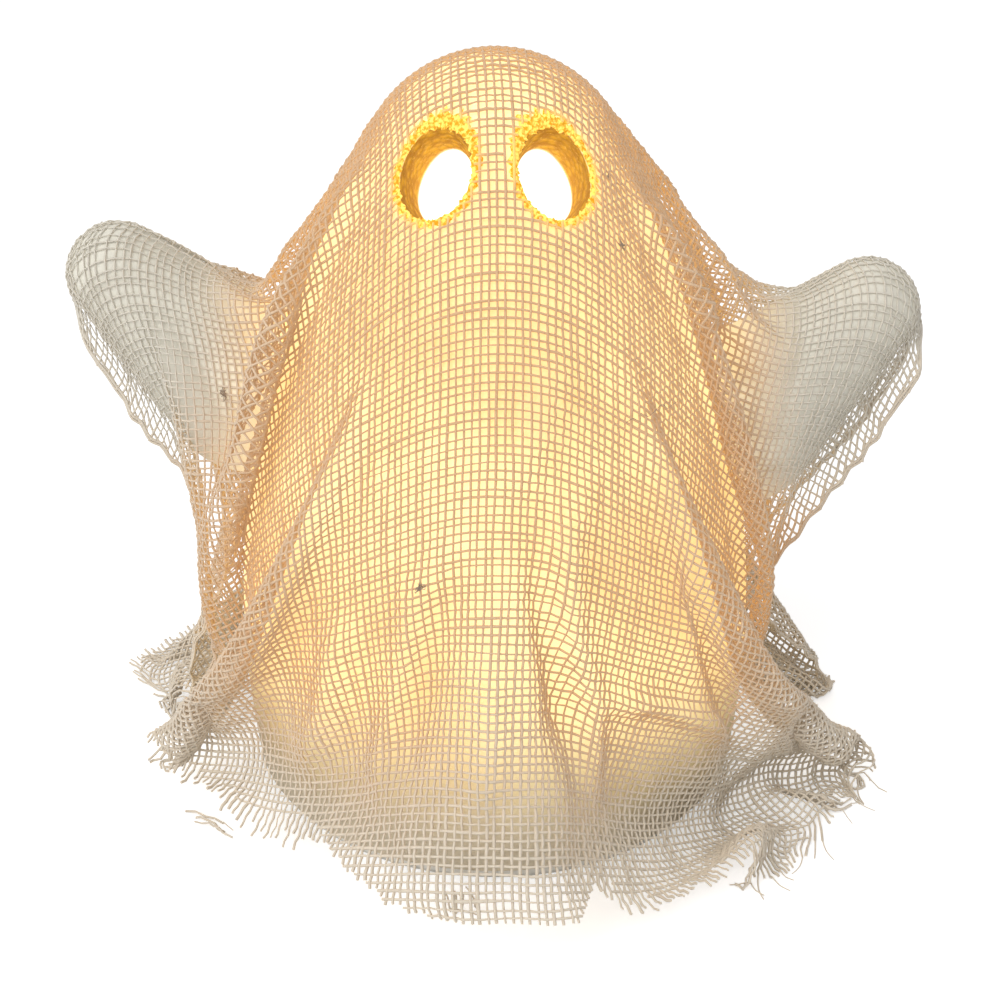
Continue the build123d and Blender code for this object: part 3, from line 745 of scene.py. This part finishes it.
def looseRuns(runs):
    # Loose strands past the front hem, bits of lint caught in the weave and one long hair
    ends = [run for warp, run in runs[-1, 1] + runs[1, 1] if warp and run[-1, 2] < 5 and run[-1, 1] < -20]
    made = {key: [] for key in runs}

    def keep(points, thick, lit, fleck, key):
        count = len(points)
        none = np.zeros(count)
        flatU = np.full(count, 118.0 * key[0]) + rng.uniform(-1, 1)
        flatV = np.linspace(0, 9, count) + 9 * len(made[key])
        taper = thick * np.linspace(1, 0.75, count)
        extras = np.stack([taper, np.full(count, lit), none, flatU, flatV, none], 1)
        made[key].append((True, np.concatenate([points, extras], 1), fleck))

    s = strandSizes
    for k in rng.choice(len(ends), size=min(s["count"], len(ends)), replace=False):
        run = ends[k]
        start, heading = run[-1, :3], unit(run[-1, :3] - run[-4, :3])
        heading = unit(heading * [1, 1, 0] + [0, 0, -1e-3])
        length, bend = rng.uniform(*s["length"]), rng.uniform(*s["bend"])
        t = np.linspace(0, 1, 9)[:, None]
        aside = np.array([-heading[1], heading[0], 0])
        points = start + heading * length * t + aside * length * 0.5 * bend * t**2
        points[:, 2] = np.maximum(0.3, start[2] * (1 - 2 * t[:, 0]) + 0.3)
        keep(points, rng.uniform(*s["radius"]), 0.0, 0.0, (1 if start[0] > 0 else -1, 1))
    for view, size, count in lintSpots.values():
        i, j = nearestSpot(view)
        for _ in range(count):
            steps = np.cumsum(rng.normal(size=(9, 2)), 0) * size * 0.35
            steps -= steps.mean(0)
            points = grid[i, j] + normals[i, j] * (0.45 + 0.2 * rng.random())
            points = points + steps[:, :1] * alongU[i, j] + steps[:, 1:] * alongV[i, j]
            keep(points, s["lintRadius"], 0.3, 0.75, (1 if view[0] > cameraSizes["view"] / 2 else -1, 1))
    t = np.linspace(0, 1, 14)
    start, run = hairLine
    hair = [nearestSpot((start[0] + run[0] * a, start[1] + run[1] * a + 10 * a * a)) for a in t]
    points = np.array([grid[i, j] + normals[i, j] * 0.7 for i, j in hair])
    keep(points, s["hairRadius"], 0.3, 0.9, (1, 1))
    return made


def eyeRim(side, material):
    count, ringCount = 150, 10
    middle, away = eyeEdge(side, count)
    along = unit(np.roll(middle, -1, 0) - np.roll(middle, 1, 0))
    aside = unit(np.cross(along, away))
    angle = np.arange(ringCount) * 2 * pi / ringCount
    crumb = 1 + np.clip(rng.normal(size=(count, ringCount, 1)) * 0.2, -0.4, 0.5)
    swell = 1 + 0.3 * np.sin(np.arange(count) * 0.9 + 1.3 * np.sin(np.arange(count) * 0.37))
    upper = np.clip(np.sin(np.arange(count) * 2 * pi / count), 0, 1) ** 2
    thick = (eyeSizes["rim"] + (eyeSizes["brow"] - eyeSizes["rim"]) * upper) * swell
    reach = thick[:, None, None] * crumb
    outward = middle - middle.mean(0)
    outward = unit(outward - (outward * away).sum(-1, keepdims=True) * away)
    middle = middle + outward * 0.6 * thick[:, None] - away * 0.25 * thick[:, None]
    rise = 0.6 * np.cos(angle)[None, :, None] * away[:, None]
    points = middle[:, None] + reach * (rise + np.sin(angle)[None, :, None] * aside[:, None])
    faces = []
    for i in range(count):
        for k in range(ringCount):
            n, m = (i + 1) % count, (k + 1) % ringCount
            faces.append((i * ringCount + k, i * ringCount + m, n * ringCount + m, n * ringCount + k))
    name = "eye_rim_left" if side < 0 else "eye_rim_right"
    mesh = bpy.data.meshes.new(name)
    mesh.from_pydata((points.reshape(-1, 3) / 1000).tolist(), [], faces)
    mesh.materials.append(material)
    obj = bpy.data.objects.new(name, mesh)
    bpy.context.scene.collection.objects.link(obj)
    return obj


def rimMaterial():
    # The crumbly foam lining round each eye: its golden colour and glow are painted light from inside the
    # foam
    material, tree = newMaterial("foamRim")
    place = objectPlace(tree)
    grain = noise(tree, place, 1500.0, 3.0)
    speckle = ramp(tree, grain, 0.38, 0.62)
    colour = mixColor(tree, speckle, (0.62, 0.30, 0.01, 1), (1.0, 0.74, 0.16, 1))
    bump = put(tree, "ShaderNodeBump", {"Strength": 0.7, "Distance": 0.0004, "Height": grain})
    shader = put(tree, "ShaderNodeBsdfPrincipled", {
        "Base Color": colour, "Roughness": 0.9, "Normal": bump.outputs[0],
        "Emission Color": colour, "Emission Strength": 0.55,
    })
    surface(tree, shader.outputs[0])
    return material


def newMaterial(name):
    material = bpy.data.materials.new(name)
    material.use_nodes = True
    tree = material.node_tree
    tree.nodes.clear()
    return material, tree


def surface(tree, shader):
    put(tree, "ShaderNodeOutputMaterial", {"Surface": shader})


def mixColor(tree, factor, a, b):
    return put(tree, "ShaderNodeMix", {0: factor, 6: a, 7: b}, data_type="RGBA").outputs[2]


def math(tree, operation, a, b=0.0):
    return put(tree, "ShaderNodeMath", {0: a, 1: b}, operation=operation).outputs[0]


def ramp(tree, value, low, high):
    sockets = {"Value": value, "From Min": low, "From Max": high}
    node = put(tree, "ShaderNodeMapRange", sockets, interpolation_type="SMOOTHSTEP")
    return node.outputs[0]


def objectPlace(tree):
    return put(tree, "ShaderNodeTexCoord").outputs["Object"]


def attribute(tree, name):
    return put(tree, "ShaderNodeAttribute", attribute_name=name).outputs["Fac"]


def noise(tree, place, scale, detail):
    sockets = {"Vector": place, "Scale": scale, "Detail": detail}
    return put(tree, "ShaderNodeTexNoise", sockets).outputs["Fac"]


def gauzeMaterial():
    material, tree = newMaterial("gauzeThread")
    place = objectPlace(tree)
    litValue = attribute(tree, "lit")
    rimGlowValue = attribute(tree, "rim")
    uneven = noise(tree, place, 260.0, 3.0)
    fibre = noise(tree, place, 5200.0, 2.0)
    pale = mixColor(tree, uneven, (0.62, 0.53, 0.41, 1), (0.80, 0.71, 0.58, 1))
    # Threads in front of the lit body are darker warm tan: painted shade and painted light for threads seen
    # against the glow behind them
    backlitShade = mixColor(tree, uneven, (0.42, 0.235, 0.105, 1), (0.60, 0.37, 0.18, 1))
    body = mixColor(tree, litValue, pale, backlitShade)
    # Threads at the eye holes turn golden: painted light from inside the foam
    body = mixColor(tree, rimGlowValue, body, (0.90, 0.52, 0.08, 1))
    armValue = attribute(tree, "onArm")
    body = mixColor(tree, math(tree, "MULTIPLY", armValue, 0.85), body, (0.66, 0.63, 0.55, 1))
    fleck = attribute(tree, "fleck")
    body = mixColor(tree, math(tree, "MULTIPLY", fibre, 0.3), body, (0.90, 0.80, 0.64, 1))
    body = mixColor(tree, fleck, body, (0.13, 0.085, 0.055, 1))
    bump = put(tree, "ShaderNodeBump", {"Strength": 0.5, "Distance": 0.00008, "Height": fibre})
    # Painted glow on the threads: warm emission where the body's glow shows through them, stronger and more
    # golden at the eye holes
    threadGlowColour = mixColor(tree, rimGlowValue, (1.0, 0.55, 0.22, 1), (1.0, 0.62, 0.06, 1))
    power = math(tree, "MULTIPLY", litValue, 0.16)
    power = math(tree, "ADD", power, math(tree, "MULTIPLY", rimGlowValue, 0.25))
    shader = put(tree, "ShaderNodeBsdfPrincipled", {
        "Base Color": body, "Roughness": 0.9, "Normal": bump.outputs[0], "Emission Color": threadGlowColour,
        "Emission Strength": power, "Sheen Weight": 0.25, "Sheen Roughness": 0.6,
    })
    surface(tree, shader.outputs[0])
    return material


def litFoamMaterial():
    material, tree = newMaterial("litFoam")
    place = objectPlace(tree)
    parts = put(tree, "ShaderNodeSeparateXYZ", {"Vector": place})
    z = parts.outputs["Z"]
    grain = noise(tree, place, 1500.0, 4.0)
    cloud = noise(tree, place, 26.0, 2.0)
    beads = put(tree, "ShaderNodeTexVoronoi", {"Vector": place, "Scale": 620.0}).outputs["Distance"]
    # Depth below the outside of the foam: a ball at the crown, a wide arc below it
    crownZ, sideX, sideZ = (foamSizes[key] / 1000 for key in ("crownZ", "sideX", "sideZ"))
    fromCrown = put(tree, "ShaderNodeVectorMath", {0: place, 1: (0, 0, crownZ)}, operation="DISTANCE")
    flat = put(tree, "ShaderNodeVectorMath", {0: place, 1: (1, 1, 0)}, operation="MULTIPLY")
    plan = put(tree, "ShaderNodeVectorMath", {0: flat.outputs["Vector"]}, operation="LENGTH")
    radius = plan.outputs["Value"]
    runX, runZ = math(tree, "SUBTRACT", radius, sideX), math(tree, "SUBTRACT", z, sideZ)
    squares = math(tree, "ADD", math(tree, "MULTIPLY", runX, runX), math(tree, "MULTIPLY", runZ, runZ))
    above = math(tree, "SUBTRACT", z, crownZ)
    top = math(tree, "GREATER_THAN", above, math(tree, "MULTIPLY", radius, tan(foamTangent)))
    sideDepth = math(tree, "SUBTRACT", foamSizes["sideR"] / 1000, math(tree, "SQRT", squares))
    topDepth = math(tree, "SUBTRACT", foamSizes["crownR"] / 1000, fromCrown.outputs["Value"])
    mixed = put(tree, "ShaderNodeMix", {0: top, 2: sideDepth, 3: topDepth}, data_type="FLOAT")
    depth = mixed.outputs[0]
    wall = math(tree, "MULTIPLY", ramp(tree, depth, 0.0004, 0.0011), ramp(tree, z, 0.095, 0.1))
    # Surfaces deep inside the foam shell get painted light: blown out to near white, with extra glow
    blownGlowInside = ramp(tree, depth, 0.0098, 0.0112)
    glow = mixColor(tree, ramp(tree, cloud, 0.35, 0.68), (1.0, 0.66, 0.21, 1), (1.0, 0.80, 0.35, 1))
    # Eye-hole walls take a golden colour: painted light from inside the foam, with the cut foam's cells and
    # bright specks in it
    wallGlowColour = mixColor(tree, ramp(tree, beads, 0.1, 0.75), (0.90, 0.48, 0.015, 1), (0.30, 0.105, 0.0, 1))
    wallGlowColour = mixColor(tree, ramp(tree, grain, 0.56, 0.74), wallGlowColour, (1.0, 0.70, 0.12, 1))
    colour = mixColor(tree, wall, glow, wallGlowColour)
    colour = mixColor(tree, blownGlowInside, colour, (1.0, 0.98, 0.90, 1))
    # The foam's glow is painted light from the diodes inside: it fades towards the table and varies in
    # cloudy patches
    power = math(tree, "MULTIPLY", ramp(tree, z, 0.006, 0.044), ramp(tree, cloud, -0.6, 0.75))
    power = math(tree, "MULTIPLY", power, 0.98)
    power = math(tree, "MULTIPLY", power, math(tree, "SUBTRACT", 1.0, math(tree, "MULTIPLY", wall, 0.55)))
    power = math(tree, "ADD", power, math(tree, "MULTIPLY", blownGlowInside, 1.1))
    height = math(tree, "ADD", grain, beads)
    bump = put(tree, "ShaderNodeBump", {"Strength": 0.6, "Distance": 0.0006, "Height": height})
    # The base colour is darker orange on the eye-hole walls: painted light from inside the foam
    base = mixColor(tree, wall, (0.64, 0.56, 0.42, 1), (0.36, 0.19, 0.01, 1))
    shader = put(tree, "ShaderNodeBsdfPrincipled", {
        "Base Color": base, "Roughness": 0.95, "Normal": bump.outputs[0],
        "Emission Color": colour, "Emission Strength": power,
    })
    surface(tree, shader.outputs[0])
    return material


def grainGroup():
    # Shared by all plain finishes: clouded colour, uneven gloss and a fine bump
    group = bpy.data.node_groups.new("mottledGrain", "ShaderNodeTree")
    kinds = {"Vector": "Vector", "Fine": "Float", "Coarse": "Float", "Dark": "Color", "Bright": "Color",
             "Smooth": "Float", "Rough": "Float", "Depth": "Float"}
    for name, kind in kinds.items():
        group.interface.new_socket(name, in_out="INPUT", socket_type="NodeSocket" + kind)
    for name, kind in {"Color": "Color", "Roughness": "Float", "Normal": "Vector"}.items():
        group.interface.new_socket(name, in_out="OUTPUT", socket_type="NodeSocket" + kind)
    into = group.nodes.new("NodeGroupInput").outputs
    grain = noise(group, into["Vector"], into["Fine"], 4.0)
    cloud = noise(group, into["Vector"], into["Coarse"], 3.0)
    bump = put(group, "ShaderNodeBump", {"Strength": 0.5, "Distance": into["Depth"], "Height": grain})
    limits = {"To Min": into["Smooth"], "To Max": into["Rough"]}
    rough = put(group, "ShaderNodeMapRange", {"Value": grain, **limits})
    put(group, "NodeGroupOutput", {
        "Color": mixColor(group, cloud, into["Dark"], into["Bright"]),
        "Roughness": rough.outputs[0], "Normal": bump.outputs[0],
    })
    return group


grainTree = grainGroup()


def plainMaterial(name, colour, roughness, metallic=0.0, scale=900.0, depth=0.00005, mottle=0.12,
                  glow=None):
    material, tree = newMaterial(name)
    place = objectPlace(tree)
    node = tree.nodes.new("ShaderNodeGroup")
    node.node_tree = grainTree
    tree.links.new(place, node.inputs["Vector"])
    settings = {
        "Fine": scale, "Coarse": scale / 14, "Depth": depth,
        "Dark": tuple(c * (1 - mottle) for c in colour) + (1,),
        "Bright": tuple(min(1, c * (1 + mottle)) for c in colour) + (1,),
        "Smooth": roughness - 0.08, "Rough": min(1, roughness + 0.08),
    }
    for key, value in settings.items():
        node.inputs[key].default_value = value
    sockets = {
        "Base Color": node.outputs["Color"], "Roughness": node.outputs["Roughness"],
        "Normal": node.outputs["Normal"], "Metallic": metallic,
    }
    if glow:
        sockets.update({"Emission Color": glow[0] + (1,), "Emission Strength": glow[1]})
    shader = put(tree, "ShaderNodeBsdfPrincipled", sockets)
    surface(tree, shader.outputs[0])
    return material


def armFoamMaterial():
    # Arm foam with a faint painted glow all over, and more painted light where it meets the body, taken
    # from the body's glow
    material, tree = newMaterial("armFoam")
    place = objectPlace(tree)
    grain = noise(tree, place, 1300.0, 4.0)
    cloud = noise(tree, place, 95.0, 3.0)
    body = mixColor(tree, cloud, (0.65, 0.62, 0.54, 1), (0.75, 0.73, 0.63, 1))
    out = math(tree, "ABSOLUTE", put(tree, "ShaderNodeSeparateXYZ", {"Vector": place}).outputs["X"])
    near = math(tree, "SUBTRACT", 1.0, ramp(tree, out, 0.040, 0.060))
    glow = mixColor(tree, near, (1.0, 0.93, 0.80, 1), (1.0, 0.72, 0.32, 1))
    power = math(tree, "ADD", 0.07, math(tree, "MULTIPLY", near, 0.45))
    bump = put(tree, "ShaderNodeBump", {"Strength": 0.5, "Distance": 0.0004, "Height": grain})
    shader = put(tree, "ShaderNodeBsdfPrincipled", {
        "Base Color": body, "Roughness": 0.95, "Normal": bump.outputs[0], "Emission Color": glow,
        "Emission Strength": power,
    })
    surface(tree, shader.outputs[0])
    return material


armFoam = armFoamMaterial()
trayPlastic = plainMaterial("trayPlastic", (0.80, 0.78, 0.72), 0.55, scale=2400.0, depth=0.00002)
contactMetal = plainMaterial("contactMetal", (0.62, 0.60, 0.56), 0.3, 1.0, scale=1500.0)
screwSteel = plainMaterial("screwSteel", (0.5, 0.5, 0.5), 0.32, 1.0, scale=2500.0)
leadRed = plainMaterial("leadRed", (0.45, 0.03, 0.025), 0.4)
finishes = {
    "foam_body": litFoamMaterial(), "left_arm": armFoam, "right_arm": armFoam,
    "base_tray": trayPlastic, "battery_door": trayPlastic,
    "positive_contact": contactMetal, "negative_contact": contactMetal, "link_contacts": contactMetal,
    "switch_screws": screwSteel, "board_screws": screwSteel, "diffuser_screws": screwSteel,
    "red_lead": leadRed, "switch_lead": leadRed,
    "black_lead": plainMaterial("leadBlack", (0.02, 0.02, 0.02), 0.4),
    "foot_ring": plainMaterial("footPad", (0.68, 0.66, 0.6), 0.95, scale=2200.0, depth=0.0002),
    "battery_cells": plainMaterial("cellSleeve", (0.09, 0.10, 0.11), 0.35, 0.4, scale=700.0),
    "switch_body": plainMaterial("switchCan", (0.55, 0.55, 0.55), 0.35, 1.0, scale=1800.0),
    "switch_knob": plainMaterial("switchKnob", (0.025, 0.025, 0.025), 0.5, scale=2500.0),
    "circuit_board": plainMaterial("boardResin", (0.80, 0.80, 0.76), 0.35, scale=1600.0),
    "resistors": plainMaterial("chipBlack", (0.03, 0.03, 0.03), 0.45, scale=3000.0),
    "light_diodes": plainMaterial(
        "diodeLens", (0.95, 0.85, 0.5), 0.15, scale=600.0, glow=((1.0, 0.75, 0.35), 6.0)),
    "diffuser": plainMaterial("milkyDome", (0.9, 0.88, 0.8), 0.5, glow=((1.0, 0.8, 0.45), 2.0)),
}
dowelWood = plainMaterial("dowelWood", (0.55, 0.38, 0.22), 0.7, scale=500.0, depth=0.0001, mottle=0.25)
finishes.update({"left_arm_dowel": dowelWood, "right_arm_dowel": dowelWood})
for name, material in finishes.items():
    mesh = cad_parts[name].data
    mesh.materials.clear()
    mesh.materials.append(material)
print("stage: finishes set")

gauze = gauzeMaterial()
tubes = threadTree()
panelNames = {
    (-1, 1): "gauze_front_left", (1, 1): "gauze_front_right",
    (-1, -1): "gauze_back_left", (1, -1): "gauze_back_right",
}
woven = weaveRuns()
strays = looseRuns(woven)
for key, runs in woven.items():
    threads = [(warp, run, 0.0) for warp, run in runs] + strays[key]
    panel = threadObject(panelNames[key], threads, tubes, gauze)
    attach(panel, "ghost")
    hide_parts("gauze_cover")
    print("stage:", panel.name, len(panel.data.polygons), "faces")

rimPaintedGlow = rimMaterial()
for side in (-1, 1):
    ring = eyeRim(side, rimPaintedGlow)
    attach(ring, "ghost")
print("stage: eye rims made")


# Stage, light and camera
def seenWhite(tree):
    path = put(tree, "ShaderNodeLightPath").outputs
    mirrored = math(tree, "MAXIMUM", path["Is Glossy Ray"], path["Is Transmission Ray"])
    return math(tree, "MAXIMUM", path["Is Camera Ray"], mirrored)


def studio():
    mesh = bpy.data.meshes.new("floor")
    mesh.from_pydata([(-4, -4, 0), (4, -4, 0), (4, 4, 0), (-4, 4, 0)], [], [(0, 1, 2, 3)])
    floor = bpy.data.objects.new("floor", mesh)
    bpy.context.scene.collection.objects.link(floor)
    material, tree = newMaterial("paleFloor")
    seen = seenWhite(tree)
    matte = put(tree, "ShaderNodeBsdfDiffuse", {"Color": (0.86, 0.86, 0.86, 1)})
    whiten = math(tree, "MULTIPLY", seen, 0.5)
    lift = put(tree, "ShaderNodeEmission", {"Color": (1, 1, 1, 1), "Strength": whiten})
    both = put(tree, "ShaderNodeAddShader", {0: matte.outputs[0], 1: lift.outputs[0]})
    surface(tree, both.outputs[0])
    mesh.materials.append(material)
    floor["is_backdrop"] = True
    world = bpy.data.worlds.new("studio")
    bpy.context.scene.world = world
    world.use_nodes = True
    tree = world.node_tree
    tree.nodes.clear()
    seen = seenWhite(tree)
    colour = mixColor(tree, seen, (0.62, 0.62, 0.63, 1), (1, 1, 1, 1))
    back = put(tree, "ShaderNodeBackground", {"Color": colour, "Strength": 1.0})
    put(tree, "ShaderNodeOutputWorld", {"Surface": back.outputs[0]})
    light = bpy.data.lights.new("softbox", "AREA")
    light.energy, light.size = 5.0, 0.7
    lamp = bpy.data.objects.new("softbox", light)
    lamp.location = (-0.45, -0.55, 0.75)
    lamp.rotation_euler = (radians(44), 0, radians(-39))
    bpy.context.scene.collection.objects.link(lamp)
    lens = bpy.data.cameras.new("camera")
    lens.lens, lens.sensor_width = cameraSizes["lens"], cameraSizes["sensor"]
    lens.shift_x, lens.shift_y = cameraSizes["shiftX"], cameraSizes["shiftY"]
    lens.clip_start, lens.clip_end = 0.01, 20
    camera = bpy.data.objects.new("camera", lens)
    camera.location = (0, cameraSizes["y"] / 1000, cameraSizes["z"] / 1000)
    camera.rotation_euler = (radians(90 - cameraSizes["tilt"]), 0, 0)
    bpy.context.scene.collection.objects.link(camera)
    bpy.context.scene.camera = camera
    bpy.context.scene.view_settings.view_transform = "Standard"


studio()
low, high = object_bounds()
print("stage: finished")
